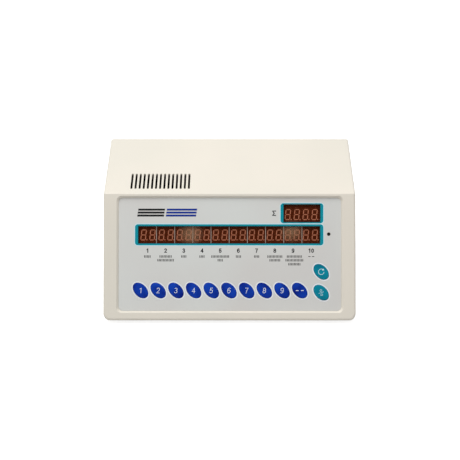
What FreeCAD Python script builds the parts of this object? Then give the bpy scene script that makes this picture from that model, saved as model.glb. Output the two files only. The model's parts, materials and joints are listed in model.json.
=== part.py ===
import FreeCAD, Part
import math
import os

from FreeCAD import Placement, Rotation, Vector

# Differential cell counter: a sloping desktop case with a recessed key and display panel.
# +X is to the right, +Y to the rear and +Z up. The origin lies on the table under the middle.
# Sizes are in millimetres and angles in degrees.

# Keys on the panel
key_count = 10
key_pitch = 14.73
key_half_length = 7.5
key_half_width = 4.95
key_turn = -46.0
key_gap = 0.2
key_proud = 0.85
key_dome = 0.6
key_edge_radius = 0.4
key_flange = 0.8
key_flange_gap = 0.1
key_flange_thickness = 1.1
key_travel = 0.5
key_travel_spare = 0.5

# Distances between the keys and the film's edges
key_row_left_margin = 18.4
side_key_gap = 17.88
side_key_right_margin = 16.75
key_row_rise = 17.0
percent_key_rise = 15.3
reset_key_rise = 32.6

# Displays and the windows in front of them
display_count = 10
display_pitch = 15.05
display_width = 15.0
display_height = 14.0
display_depth = 7.1
total_display_width = 30.2
key_row_to_window = 46.4
window_side_room = 3.275
total_window_side_room = 2.75
main_window_height = 17.5
total_window_height = 16.6
window_thickness = 1.0
window_corner = 2.3
window_ledge = 1.0
window_gap = 0.95
window_shift = -0.3
window_top_margin = 4.5
main_border_side = 2.75
main_border_top = 1.65
total_border_side = 2.6
total_border_top = 0.95

# Seven segment digits
counter_digit_count = 2
total_digit_count = 4
digit_height = 9.14
digit_width = 4.6
digit_pitch = 7.4
counter_digit_drop = 0.1
total_digit_drop = 1.0
total_digit_shift = -0.55
segment_width = 0.75
segment_break = 0.15
segment_lean = 6.0
segment_relief = 0.1
point_radius = 0.5
point_gap = 0.35

# Sound hole and buzzer
sound_hole_radius = 1.5
sound_hole_offset = 4.5
sound_hole_rise = 0.6
buzzer_radius = 4.8
buzzer_height = 5.2
buzzer_port_radius = 1.0
buzzer_port_depth = 1.2

# Film and the recess that holds it
film_thickness = 0.4
film_edge_gap = 0.1
film_corner = 3.8
recess_corner = 4.2
recess_shift = 0.3
recess_depth = 2.0
bevel_width = 1.6
floor_thickness = 2.4

# Case
frame_side = 10.6
frame_bottom = 7.6
frame_top = 2.1
face_tilt = 28.0
top_length = 103.0
top_slope = 4.0
wall = 2.5
side_edge_radius = 2.0
crease_radius = 1.5
rear_edge_radius = 4.5
bottom_side_radius = 5.5
bottom_edge_radius = 2.0

# Joint between the cover and the tray
tray_height = 18.0
tray_setback = 8.0
shadow_gap = 0.4
tongue_thickness = 1.05
tongue_height = 3.0
tongue_clearance = 0.15

# Vent slots in the top and in the base
vent_count = 15
vent_pitch = 3.44
vent_width = 1.75
vent_length = 26.5
vent_wall = 1.5
vent_wall_margin = 2.0
vent_from_crease = 7.9
first_vent_from_side = 22.7
base_vent_count = 10
base_vent_pitch = 6.0
base_vent_width = 2.0
base_vent_length = 30.0

# Case screws and the bosses that take them
column_radius = 3.5
column_from_side = 10.0
front_column_from_crease = 19.0
rear_column_from_back = 12.0
tray_boss_radius = 4.4
tray_boss_height = 8.0
counterbore_radius = 3.1
counterbore_depth = 5.0
case_screw_radius = 1.5
case_screw_length = 16.0
case_screw_head_radius = 2.8
case_screw_head_height = 2.0
screw_clearance = 0.05
screw_hole_clearance = 0.25
screw_hole_spare = 1.5

# Small screws
small_screw_radius = 1.25
small_screw_length = 6.0
small_screw_head_radius = 2.3
small_screw_head_height = 1.6
cross_width = 0.6
cross_share = 0.7
cross_depth = 0.8

# Feet
foot_radius = 6.0
foot_drop = 3.0
foot_seat_depth = 0.8
foot_seat_gap = 0.2
foot_edge_radius = 0.8
foot_from_side = 20.0
front_foot_from_front = 24.0
rear_foot_from_back = 25.0

# Panel board with its switches and chips
board_thickness = 1.6
board_standoff = 6.2
board_side_inset = 0.5
board_bottom_inset = 3.0
board_top_inset = 3.6
board_corner = 1.5
board_boss_radius = 3.0
board_boss_from_side = 4.0
board_boss_from_bottom = 4.0
board_boss_from_top = 6.0
middle_boss_offset = 37.0
middle_boss_rise = 17.0
switch_size = 6.0
switch_height = 3.5
switch_corner = 0.5
plunger_radius = 1.65
plunger_gap = 0.1
plunger_in_switch = 1.5
controller_length = 52.0
controller_width = 14.0
driver_length = 25.0
driver_width = 7.6
chip_height = 4.0
chip_rise = 24.0
driver_rise = 46.0
driver_pitch = 34.0
driver_count = 3
header_length = 26.0
header_width = 6.0
header_height = 8.0
header_rise = 8.0

# Power board, its posts and the transformer
power_board_from_side = 17.0
power_board_from_front = 53.0
post_height = 5.0
post_radius = 3.2
post_inset = 4.0
leg_half_width = 7.0
core_window_height = 21.0
core_stack = 22.0
core_from_left = 9.0
core_from_front = 14.0
coil_gap = 0.3
coil_overhang = 6.7
capacitor_radius = 8.0
capacitor_height = 25.0
capacitor_rim = 0.8
small_capacitor_radius = 5.0
small_capacitor_height = 16.0
core_to_capacitor = 9.0
part_from_right = 12.0
part_from_front = 13.0
part_spacing = 19.0
sink_width = 16.0
sink_depth = 10.0
sink_height = 24.0
sink_wall = 1.6
sink_to_screw = 1.7
fuse_radius = 2.6
fuse_length = 20.0
fuse_clip_width = 5.0
fuse_clip_height = 3.4
terminal_block_width = 15.0
terminal_block_depth = 8.0
terminal_block_height = 10.0
terminal_block_inset = 6.0
terminal_pitch = 7.5

# Rear panel and the tunnel in the cover that holds it
rear_panel_width = 170.0
rear_panel_height = 56.0
rear_panel_rise = 8.0
rear_panel_thickness = 2.0
rear_panel_gap = 0.2
rear_recess = 5.0
rear_lip = 6.0
rear_lip_thickness = 3.0
tunnel_wall = 2.0
panel_corner = 2.0

# Mains inlet
inlet_from_panel_side = 22.0
inlet_flange_width = 31.0
inlet_flange_height = 24.0
inlet_flange_thickness = 2.5
inlet_flange_corner = 2.5
inlet_body_width = 27.0
inlet_body_height = 19.6
inlet_body_depth = 20.0
inlet_cavity_width = 24.6
inlet_cavity_height = 16.4
inlet_cavity_depth = 18.5
inlet_cavity_chamfer = 4.5
cutout_gap = 0.2
pin_width = 2.0
pin_height = 4.0
pin_length = 17.0
pin_spread = 7.0
pin_offset = 2.0
tab_width = 0.8
tab_height = 4.8
tab_length = 9.0

# Power switch
rocker_from_inlet = 36.0
bezel_width = 15.0
bezel_height = 21.0
bezel_thickness = 1.8
bezel_corner = 1.5
housing_width = 12.8
housing_height = 18.8
housing_depth = 12.0
well_width = 10.4
well_height = 16.6
well_depth = 11.5
rocker_width = 10.0
rocker_pivot_depth = 3.5
rocker_half_swing = 10.0
rocker_half_height = 6.2
rocker_shoulder = 7.0
rocker_end_rise = 5.4
rocker_middle_rise = 3.7
rocker_base_half = 3.0
rocker_base_drop = 2.0
trunnion_radius = 1.0
trunnion_length = 0.9
trunnion_clearance = 0.05
switch_tab_spread = 12.0

# Wires inside the case
lead_radius = 1.0
lead_bend_share = 0.45
lead_ahead_share = 0.45
lead_above_share = 0.35
ribbon_width = 20.0
ribbon_thickness = 1.0
ribbon_slack = 14.0

# One overrun serves every cut, one flat keeps the ends of round slots apart,
# and one tolerance finds the edges to be rounded
overrun = 5.0
slot_flat = 0.1
edge_match = 0.05

# Sizes that follow from the ones above
film_width = (key_row_left_margin + (key_count - 1) * key_pitch + side_key_gap
              + side_key_right_margin)
main_window_width = (display_count - 1) * display_pitch + display_width + 2 * window_side_room
total_window_width = total_display_width + 2 * total_window_side_room
film_height = (key_row_rise + key_row_to_window + main_window_height / 2 + window_gap
               + total_window_height + window_top_margin)
recess_width = film_width + 2 * bevel_width
recess_height = film_height + 2 * bevel_width
case_width = recess_width + 2 * frame_side
face_height = frame_bottom + recess_height + frame_top
face_wall = recess_depth + film_thickness + floor_thickness

tilt = math.radians(face_tilt)
slope = math.radians(top_slope)
body_depth = face_height * math.sin(tilt) + top_length * math.cos(slope)
rounded_front = bottom_edge_radius * (1 + math.sin(tilt) - math.cos(tilt)) / math.cos(tilt)
front_y = -(body_depth + rounded_front) / 2
rear_y = front_y + body_depth
base_z = foot_drop
crease_y = front_y + face_height * math.sin(tilt)
crease_z = base_z + face_height * math.cos(tilt)
split_z = base_z + tray_height
floor_z = base_z + wall

# Levels along the panel's outward normal, with zero on the frame
film_top = -recess_depth
film_under = film_top - film_thickness
window_under = film_under - window_thickness
floor_under = -face_wall
board_top = floor_under - board_standoff
board_under = board_top - board_thickness
display_face = board_top + display_depth
plunger_top = floor_under - key_flange_gap - key_flange_thickness
switch_top = board_top + switch_height
switch_bore_floor = switch_top - plunger_in_switch - key_travel - key_travel_spare

# Places on the panel: u to the right of the middle, v up the face from its lower edge
film_bottom = frame_bottom + bevel_width
film_middle = film_bottom + film_height / 2
key_row_v = film_bottom + key_row_rise
first_key_u = recess_shift + key_row_left_margin - film_width / 2
side_key_u = recess_shift + film_width / 2 - side_key_right_margin
main_window_v = key_row_v + key_row_to_window
total_window_v = main_window_v + main_window_height / 2 + window_gap + total_window_height / 2
total_window_u = window_shift + (main_window_width - total_window_width) / 2
sound_hole_u = window_shift + main_window_width / 2 + sound_hole_offset
sound_hole_v = main_window_v + sound_hole_rise
board_width = film_width - 2 * board_side_inset
board_bottom = film_bottom + board_bottom_inset
board_height = film_height - board_bottom_inset - board_top_inset
board_middle = board_bottom + board_height / 2

# Places on the rear panel and inside the case
rear_panel_z = split_z + rear_panel_rise + rear_panel_height / 2
rear_panel_face = rear_y - rear_recess
inlet_x = inlet_from_panel_side - rear_panel_width / 2
rocker_x = inlet_x + rocker_from_inlet
power_board_width = (core_from_left + 6 * leg_half_width + core_to_capacitor + capacitor_radius
                     + part_from_right)
power_board_depth = (part_from_front + 2 * part_spacing + sink_depth / 2 + sink_to_screw
                     + small_screw_head_radius + post_inset)
power_board_left = power_board_from_side - case_width / 2
power_board_front = front_y + power_board_from_front
power_board_under = floor_z + post_height
power_board_top = power_board_under + board_thickness

x_axis = Vector(1, 0, 0)
y_axis = Vector(0, 1, 0)
z_axis = Vector(0, 0, 1)
half_turn = 180
quarter_turn = 90
eighth_turn = 45

panel_place = Placement(Vector(0, front_y, base_z), Rotation(x_axis, quarter_turn - face_tilt))
top_place = Placement(Vector(0, crease_y, crease_z), Rotation(x_axis, top_slope))


def placed(shape, placement):
    """Return a copy of a shape carried into the case by a placement."""
    copy = shape.copy()
    copy.Placement = placement.multiply(copy.Placement)
    return copy


def box(low, high):
    """Return a box between two corners, each given as x, y, z."""
    size = [high[axis] - low[axis] for axis in range(len(low))]
    return Part.makeBox(size[0], size[1], size[2], Vector(*low))


def slab(middle, width, height, bottom, top):
    """Return a box centred on a point of a plane, between two levels above it."""
    low = (middle[0] - width / 2, middle[1] - height / 2, bottom)
    high = (middle[0] + width / 2, middle[1] + height / 2, top)
    return box(low, high)


def disc(middle, radius, bottom, top):
    """Return a round bar centred on a point of a plane, between two levels above it."""
    return Part.makeCylinder(radius, top - bottom, Vector(middle[0], middle[1], bottom), z_axis)


def on_circle(middle, radius, angle):
    """Return the point of a circle at an angle from its first axis."""
    turn = math.radians(angle)
    return middle + Vector(radius * math.cos(turn), radius * math.sin(turn), 0)


def rounded_wire(middle, width, height, radius, level):
    """Return a rectangle with round corners as a closed wire at one level."""
    edges = []
    ends = []
    signs = ((1, 1), (-1, 1), (-1, -1), (1, -1))
    for number, (side_u, side_v) in enumerate(signs):
        centre = Vector(middle[0] + side_u * (width / 2 - radius),
                        middle[1] + side_v * (height / 2 - radius), level)
        start_angle = quarter_turn * number
        start = on_circle(centre, radius, start_angle)
        bulge = on_circle(centre, radius, start_angle + eighth_turn)
        end = on_circle(centre, radius, start_angle + quarter_turn)
        if ends:
            edges.append(Part.makeLine(ends[-1][1], start))
        edges.append(Part.Arc(start, bulge, end).toShape())
        ends.append((start, end))
    edges.append(Part.makeLine(ends[-1][1], ends[0][0]))
    return Part.Wire(edges)


def rounded_plate(middle, width, height, radius, bottom, top):
    """Return a plate with round corners, between two levels."""
    outline = rounded_wire(middle, width, height, radius, bottom)
    return Part.Face(outline).extrude(Vector(0, 0, top - bottom))


def oval_bar(middle, half_length, half_width, bottom, top):
    """Return an oval bar turned to the angle of the keys, between two levels."""
    oval = Part.Ellipse(Vector(0, 0, 0), half_length, half_width).toShape()
    face = Part.Face(Part.Wire([oval]))
    bar = face.extrude(Vector(0, 0, top - bottom))
    spin = Rotation(z_axis, key_turn)
    return placed(bar, Placement(Vector(middle[0], middle[1], bottom), spin))


def polygon_bar(points, start_x, length):
    """Return a bar along X from an outline of y, z points."""
    corners = [Vector(start_x, y, z) for y, z in points]
    corners.append(corners[0])
    return Part.Face(Part.makePolygon(corners)).extrude(Vector(length, 0, 0))


def crossing(point, direction, other_point, other_direction):
    """Return where two lines of the side view meet."""
    gap_y = other_point[0] - point[0]
    gap_z = other_point[1] - point[1]
    spread = direction[0] * other_direction[1] - direction[1] * other_direction[0]
    run = (gap_y * other_direction[1] - gap_z * other_direction[0]) / spread
    return (point[0] + run * direction[0], point[1] + run * direction[1])


def side_outline(front, top, rear, bottom):
    """Return the side view's corners with each wall line moved inward."""
    up_face = (math.sin(tilt), math.cos(tilt))
    along_top = (math.cos(slope), math.sin(slope))
    face_point = (front_y + front * math.cos(tilt), base_z - front * math.sin(tilt))
    top_point = (crease_y + top * math.sin(slope), crease_z - top * math.cos(slope))
    low_point = (front_y, base_z + bottom)
    back_point = (rear_y - rear, base_z + bottom)
    return [crossing(face_point, up_face, low_point, (1, 0)),
            crossing(face_point, up_face, top_point, along_top),
            crossing(top_point, along_top, back_point, (0, 1)),
            back_point]


def plain_block(front, top, rear, bottom, side):
    """Return the case's block with each face moved inward by its own amount."""
    width = case_width - 2 * side
    return polygon_bar(side_outline(front, top, rear, bottom), -width / 2, width)


def edge_numbers(block, places):
    """Return the numbers of the edges whose middles lie at the given places."""
    found = []
    for number, edge in enumerate(block.Edges):
        middle = edge.valueAt((edge.FirstParameter + edge.LastParameter) / 2)
        for place in places:
            if middle.isEqual(place, edge_match):
                found.append(number + 1)
    return found


def rounded_block(inset):
    """Return the case's block with all its outer edges rounded."""
    block = plain_block(inset, inset, inset, inset, inset)
    corners = side_outline(inset, inset, inset, inset)
    side_x = case_width / 2 - inset
    lower_front, crease, upper_rear, lower_rear = corners

    def side_edges(start, end):
        middle_y = (start[0] + end[0]) / 2
        middle_z = (start[1] + end[1]) / 2
        return [Vector(side_x, middle_y, middle_z), Vector(-side_x, middle_y, middle_z)]

    def cross_edge(corner):
        return [Vector(0, corner[0], corner[1])]

    rounds = ((side_edges(lower_front, lower_rear), bottom_side_radius),
              (side_edges(upper_rear, lower_rear), rear_edge_radius),
              (side_edges(lower_front, crease), side_edge_radius),
              (side_edges(crease, upper_rear), side_edge_radius),
              (cross_edge(lower_front), bottom_edge_radius),
              (cross_edge(crease), crease_radius),
              (cross_edge(upper_rear), rear_edge_radius),
              (cross_edge(lower_rear), bottom_edge_radius))
    work = FreeCAD.newDocument("rounding")
    base = work.addObject("Part::Feature", "block")
    base.Shape = block
    rounding = work.addObject("Part::Fillet", "rounding")
    rounding.Base = base
    edges = []
    for places, radius in rounds:
        for number in edge_numbers(block, places):
            edges.append((number, radius - inset, radius - inset))
    rounding.Edges = edges
    work.recompute()
    result = rounding.Shape.copy()
    FreeCAD.closeDocument(work.Name)
    return Part.makeSolid(result.Shells[0])


def tray_zone(setback, top, low):
    """Return the space behind a plane parallel to the face and under one level."""
    along = (math.sin(tilt), math.cos(tilt))
    start = (front_y + setback * math.cos(tilt), base_z - setback * math.sin(tilt))
    lower = crossing(start, along, (0, low), (1, 0))
    upper = crossing(start, along, (0, top), (1, 0))
    behind = rear_y + overrun
    width = case_width + 2 * overrun
    return polygon_bar([lower, upper, (behind, top), (behind, low)], -width / 2, width)


def rim_ring(depth):
    """Return the inner part of the side and rear walls, to a depth into them."""
    swollen = plain_block(face_wall, wall, wall - depth, wall, wall - depth)
    return swollen.cut(cavity_block())


def cavity_block():
    """Return the hollow of the case."""
    return plain_block(face_wall, wall, wall, wall, wall)


def key_places():
    """Return each key's name and its place on the panel."""
    places = []
    for number in range(key_count):
        places.append((f"key_{number + 1}", (first_key_u + number * key_pitch, key_row_v)))
    places.append(("reset_key", (side_key_u, film_bottom + reset_key_rise)))
    places.append(("percent_key", (side_key_u, film_bottom + percent_key_rise)))
    return places


def display_places():
    """Return the middle of each counter display on the panel."""
    first_u = window_shift - (display_count - 1) * display_pitch / 2
    return [(first_u + number * display_pitch, main_window_v) for number in range(display_count)]


def board_boss_places():
    """Return where the panel board is screwed to the cover."""
    side_u = board_width / 2 - board_boss_from_side
    low_v = board_bottom + board_boss_from_bottom
    high_v = board_bottom + board_height - board_boss_from_top
    middle_v = key_row_v + middle_boss_rise
    places = []
    for side in (-1, 1):
        places.append((side * side_u, low_v))
        places.append((side * middle_boss_offset, middle_v))
        places.append((side * side_u, high_v))
    return places


def column_places():
    """Return where the case screws stand, as x and y."""
    side_x = case_width / 2 - column_from_side
    ys = (crease_y + front_column_from_crease, rear_y - rear_column_from_back)
    return [(side * side_x, y) for side in (-1, 1) for y in ys]


def foot_places():
    """Return where the feet stand, as x and y."""
    side_x = case_width / 2 - foot_from_side
    ys = (front_y + front_foot_from_front, rear_y - rear_foot_from_back)
    return [(side * side_x, y) for side in (-1, 1) for y in ys]


def post_places():
    """Return where the power board stands on its posts, as x and y."""
    xs = (power_board_left + post_inset, power_board_left + power_board_width - post_inset)
    ys = (power_board_front + post_inset, power_board_front + power_board_depth - post_inset)
    return [(x, y) for x in xs for y in ys]


def rear_screw_places():
    """Return the rear panel's screw places, as x and z."""
    side_x = (rear_panel_width - rear_lip) / 2
    rise = (rear_panel_height - rear_lip) / 2
    return [(side * side_x, rear_panel_z + end * rise) for side in (-1, 1) for end in (-1, 1)]


def window_openings():
    """Return the through openings of the two windows, in panel levels."""
    main = slab((window_shift, main_window_v), main_window_width - 2 * window_ledge,
                main_window_height - 2 * window_ledge, floor_under - overrun, 0)
    total = slab((total_window_u, total_window_v), total_window_width - 2 * window_ledge,
                 total_window_height - 2 * window_ledge, floor_under - overrun, 0)
    return [main, total]


def window_pockets():
    """Return the shallow pockets that the two windows lie in."""
    main = rounded_plate((window_shift, main_window_v), main_window_width, main_window_height,
                         window_corner, window_under, 0)
    total = rounded_plate((total_window_u, total_window_v), total_window_width,
                          total_window_height, window_corner, window_under, 0)
    return [main, total]


def film_recess():
    """Return the recess for the film with its sloping edge."""
    middle = (recess_shift, film_middle)
    seat = rounded_plate(middle, film_width, film_height, film_corner, film_under, film_top)
    low = rounded_wire(middle, film_width, film_height, film_corner, film_top)
    high = rounded_wire(middle, recess_width, recess_height, recess_corner, 0)
    slope_cut = Part.makeLoft([low, high], True, True)
    mouth = rounded_plate(middle, recess_width, recess_height, recess_corner, 0, overrun)
    return [seat, slope_cut, mouth]


def key_openings(bottom, top):
    """Return the openings that the keys pass through."""
    openings = []
    for _, place in key_places():
        openings.append(oval_bar(place, key_half_length + key_gap, key_half_width + key_gap,
                                 bottom, top))
    return openings


def vent_cutters():
    """Return the slots through the top and the hollow that thins the wall around them."""
    first_x = first_vent_from_side - case_width / 2
    middle = (first_x + (vent_count - 1) * vent_pitch / 2, vent_from_crease + vent_length / 2)
    width = (vent_count - 1) * vent_pitch + vent_width + 2 * vent_wall_margin
    hollow = slab(middle, width, vent_length + 2 * vent_wall_margin, -wall - overrun, -vent_wall)
    slots = [placed(hollow, top_place)]
    for number in range(vent_count):
        place = (first_x + number * vent_pitch, middle[1])
        slot = rounded_plate(place, vent_width, vent_length, (vent_width - slot_flat) / 2,
                             -wall - overrun, overrun)
        slots.append(placed(slot, top_place))
    return slots


def rear_tunnel():
    """Return the frame that stands in behind the rear opening, as its solid and its hollows."""
    width = rear_panel_width + 2 * rear_panel_gap
    height = rear_panel_height + 2 * rear_panel_gap
    seat_y = rear_panel_face - rear_panel_thickness
    inner_y = seat_y - rear_lip_thickness

    def frame_box(grow, low_y, high_y):
        return box((-width / 2 - grow, low_y, rear_panel_z - height / 2 - grow),
                   (width / 2 + grow, high_y, rear_panel_z + height / 2 + grow))

    body = frame_box(tunnel_wall, inner_y, rear_y - wall / 2)
    hollow = frame_box(0, seat_y, rear_y + overrun)
    through = frame_box(-rear_lip - rear_panel_gap, inner_y - overrun, seat_y + overrun)
    return body, [hollow, through]


def bar_along_y(x, z, radius, start_y, end_y):
    """Return a round bar along Y."""
    return Part.makeCylinder(radius, end_y - start_y, Vector(x, start_y, z), y_axis)


def top_cover():
    """Return the cover: front frame, top, upper sides and rear."""
    shell = rounded_block(0).cut(cavity_block())
    cover = shell.cut(tray_zone(tray_setback, split_z, base_z - overrun))
    rebate = rim_ring(tongue_thickness + tongue_clearance)
    rebate = rebate.common(tray_zone(tray_setback, split_z + tongue_height + tongue_clearance,
                                     split_z - overrun))
    cover = cover.cut(rebate)

    added = []
    column_foot = floor_z + tray_boss_height
    for x, y in column_places():
        column = disc((x, y), column_radius, column_foot, crease_z + overrun)
        added.append(column.common(plain_block(face_wall / 2, wall / 2, wall / 2, 0, wall / 2)))
    for place in board_boss_places():
        boss = disc(place, board_boss_radius, board_top, floor_under + floor_thickness / 2)
        added.append(placed(boss, panel_place))
    tunnel, tunnel_hollows = rear_tunnel()
    added.append(tunnel)
    cover = cover.fuse(added)

    cutters = film_recess() + window_openings() + window_pockets()
    cutters += key_openings(floor_under - overrun, 0)
    cutters.append(disc((sound_hole_u, sound_hole_v), sound_hole_radius,
                        floor_under - overrun, 0))
    for place in board_boss_places():
        cutters.append(disc(place, small_screw_radius + screw_clearance,
                            board_top - overrun, board_top + small_screw_length - board_thickness))
    cutters = [placed(cutter, panel_place) for cutter in cutters]
    cutters += vent_cutters()
    cutters += tunnel_hollows
    for x, y in column_places():
        cutters.append(disc((x, y), case_screw_radius + screw_clearance, column_foot - overrun,
                            base_z + counterbore_depth + case_screw_length + screw_hole_spare))
    seat_y = rear_panel_face - rear_panel_thickness
    for x, z in rear_screw_places():
        cutters.append(bar_along_y(x, z, small_screw_radius + screw_clearance,
                                   seat_y - rear_lip_thickness - overrun, seat_y + overrun))
    return cover.cut(cutters).removeSplitter()


def base_tray():
    """Return the tray: base, lower sides, bosses, posts and the tongue inside the cover."""
    shell = rounded_block(0).cut(cavity_block())
    zone = tray_zone(tray_setback, split_z, base_z - overrun)
    tray = shell.common(zone)
    shadow = zone.cut(tray_zone(tray_setback + shadow_gap, split_z - shadow_gap,
                                base_z - 2 * overrun))
    shadow = shadow.cut(rounded_block(shadow_gap))
    tray = tray.cut(shadow)

    tongue = rim_ring(tongue_thickness)
    tongue = tongue.common(tray_zone(tray_setback + tongue_height, split_z + tongue_height,
                                     split_z - tongue_height))
    added = [tongue]
    for place in column_places():
        added.append(disc(place, tray_boss_radius, base_z + wall / 2, floor_z + tray_boss_height))
    for place in post_places():
        added.append(disc(place, post_radius, base_z + wall / 2, power_board_under))
    tray = tray.fuse(added)

    cutters = []
    for place in column_places():
        cutters.append(disc(place, counterbore_radius, base_z - overrun,
                            base_z + counterbore_depth))
        cutters.append(disc(place, case_screw_radius + screw_hole_clearance, base_z,
                            floor_z + tray_boss_height + overrun))
    for place in post_places():
        cutters.append(disc(place, small_screw_radius + screw_clearance,
                            power_board_top - small_screw_length,
                            power_board_under + overrun))
    for place in foot_places():
        cutters.append(disc(place, foot_radius + foot_seat_gap, base_z - overrun,
                            base_z + foot_seat_depth))
    middle_x = power_board_left + power_board_width / 2
    middle_y = power_board_front + power_board_depth / 2
    for number in range(base_vent_count):
        shift = (number - (base_vent_count - 1) / 2) * base_vent_pitch
        cutters.append(rounded_plate((middle_x + shift, middle_y), base_vent_width,
                                     base_vent_length, (base_vent_width - slot_flat) / 2,
                                     base_z - overrun, floor_z + overrun / 2))
    return tray.cut(cutters).removeSplitter()


def rear_panel():
    """Return the plate that carries the mains inlet and the power switch."""
    low_y = rear_panel_face - rear_panel_thickness
    plate = box((-rear_panel_width / 2, low_y, rear_panel_z - rear_panel_height / 2),
                (rear_panel_width / 2, rear_panel_face, rear_panel_z + rear_panel_height / 2))
    plate = plate.makeFillet(panel_corner, edges_along_y(plate))
    cutters = [y_box(inlet_x, rear_panel_z, inlet_body_width + 2 * cutout_gap,
                     inlet_body_height + 2 * cutout_gap, low_y - overrun,
                     rear_panel_face + overrun),
               y_box(rocker_x, rear_panel_z, housing_width + 2 * cutout_gap,
                     housing_height + 2 * cutout_gap, low_y - overrun,
                     rear_panel_face + overrun)]
    for x, z in rear_screw_places():
        cutters.append(bar_along_y(x, z, small_screw_radius + screw_hole_clearance,
                                   low_y - overrun, rear_panel_face + overrun))
    return plate.cut(cutters)


def edges_along_y(shape):
    """Return the straight edges of a shape that run along Y."""
    found = []
    for edge in shape.Edges:
        ends = [vertex.Point for vertex in edge.Vertexes]
        run = ends[-1] - ends[0]
        if abs(run.y) > 0 and math.isclose(abs(run.y), run.Length):
            found.append(edge)
    return found


def y_box(x, z, width, height, low_y, high_y):
    """Return a box centred on x and z, between two places along Y."""
    return box((x - width / 2, low_y, z - height / 2), (x + width / 2, high_y, z + height / 2))


def overlay_film():
    """Return the printed film that lies in the recess."""
    middle = (recess_shift, film_middle)
    film = rounded_plate(middle, film_width - 2 * film_edge_gap, film_height - 2 * film_edge_gap,
                         film_corner, film_under, film_top)
    cutters = key_openings(film_under - overrun, film_top + overrun)
    cutters.append(slab((window_shift, main_window_v), main_window_width - 2 * main_border_side,
                        main_window_height - 2 * main_border_top, film_under - overrun, 0))
    cutters.append(slab((total_window_u, total_window_v),
                        total_window_width - 2 * total_border_side,
                        total_window_height - 2 * total_border_top, film_under - overrun, 0))
    cutters.append(disc((sound_hole_u, sound_hole_v), sound_hole_radius, film_under - overrun, 0))
    return placed(film.cut(cutters), panel_place)


def window(place, width, height):
    """Return one tinted window, a little smaller than its pocket."""
    plate = rounded_plate(place, width - 2 * film_edge_gap, height - 2 * film_edge_gap,
                          window_corner, window_under, film_under)
    return placed(plate, panel_place)


def panel_board():
    """Return the board behind the panel with its screw holes."""
    board = rounded_plate((0, board_middle), board_width, board_height, board_corner,
                          board_under, board_top)
    holes = [disc(place, small_screw_radius + screw_hole_clearance, board_under - overrun,
                  board_top + overrun) for place in board_boss_places()]
    return placed(board.cut(holes), panel_place)


def display_module(place, width):
    """Return one display's housing, standing on the board."""
    return placed(slab(place, width, display_height, board_top, display_face), panel_place)


def segment_bar(start, end):
    """Return one segment of a digit between two corners of its skeleton."""
    along = (end - start).normalize()
    across = Vector(-along.y, along.x, 0)
    tip = segment_break * math.sqrt(2)
    first = start + along * tip
    last = end - along * tip
    half = segment_width / 2
    corners = [first, first + (along + across) * half, last + (across - along) * half,
               last, last - (along + across) * half, first + (along - across) * half]
    leaned = []
    for corner in corners + corners[:1]:
        lean = corner.y * math.tan(math.radians(segment_lean))
        leaned.append(Vector(corner.x + lean, corner.y, 0))
    return Part.Face(Part.makePolygon(leaned)).extrude(Vector(0, 0, segment_relief))


def digit_pieces():
    """Return the seven segments and the decimal point of one digit about its middle."""
    half_width = (digit_width - segment_width) / 2
    half_height = (digit_height - segment_width) / 2
    left_low = Vector(-half_width, -half_height, 0)
    right_low = Vector(half_width, -half_height, 0)
    left_mid = Vector(-half_width, 0, 0)
    right_mid = Vector(half_width, 0, 0)
    left_high = Vector(-half_width, half_height, 0)
    right_high = Vector(half_width, half_height, 0)
    pairs = ((left_high, right_high), (right_mid, right_high), (right_low, right_mid),
             (left_low, right_low), (left_low, left_mid), (left_mid, left_high),
             (left_mid, right_mid))
    pieces = [segment_bar(start, end) for start, end in pairs]
    lean = half_height * math.tan(math.radians(segment_lean))
    point_x = digit_width / 2 - lean + point_gap + point_radius
    pieces.append(disc((point_x, point_radius - digit_height / 2), point_radius, 0,
                       segment_relief))
    return pieces


def display_segments():
    """Return every segment of every display as its own thin tile."""
    tiles = []
    rows = [(place, counter_digit_count, counter_digit_drop) for place in display_places()]
    rows.append(((total_window_u + total_digit_shift, total_window_v), total_digit_count,
                 total_digit_drop))
    for place, count, drop in rows:
        for number in range(count):
            shift = (number - (count - 1) / 2) * digit_pitch
            spot = Vector(place[0] + shift, place[1] - drop, display_face)
            for piece in digit_pieces():
                tiles.append(placed(placed(piece, Placement(spot, Rotation())), panel_place))
    return tiles


def key_cap(place):
    """Return one domed key with the flange that keeps it behind the floor."""
    flange_top = floor_under - key_flange_gap
    peak = film_top + key_proud
    body = oval_bar(place, key_half_length, key_half_width, flange_top, peak)
    ball_radius = (key_half_length ** 2 + key_dome ** 2) / (2 * key_dome)
    ball = Part.makeSphere(ball_radius, Vector(place[0], place[1], peak - ball_radius))
    body = body.common(ball)
    rims = [edge for edge in body.Edges
            if edge.BoundBox.ZMin > flange_top and edge.BoundBox.YLength > key_half_width]
    body = body.makeFillet(key_edge_radius, rims)
    flange = oval_bar(place, key_half_length + key_flange, key_half_width + key_flange,
                      plunger_top, flange_top)
    return placed(body.fuse(flange), panel_place)


def plunger(place):
    """Return the switch plunger under one key."""
    return placed(disc(place, plunger_radius, switch_top - plunger_in_switch, plunger_top),
                  panel_place)


def switch_bodies():
    """Return the switches, each bored for its plunger."""
    bodies = []
    for _, place in key_places():
        body = rounded_plate(place, switch_size, switch_size, switch_corner, board_top, switch_top)
        bore = disc(place, plunger_radius + plunger_gap, switch_bore_floor, switch_top + overrun)
        bodies.append(placed(body.cut(bore), panel_place))
    return bodies


def buzzer():
    """Return the round buzzer behind the sound hole."""
    place = (sound_hole_u, sound_hole_v)
    top = board_top + buzzer_height
    body = disc(place, buzzer_radius, board_top, top)
    port = disc(place, buzzer_port_radius, top - buzzer_port_depth, top + overrun)
    return placed(body.cut(port), panel_place)


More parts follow.
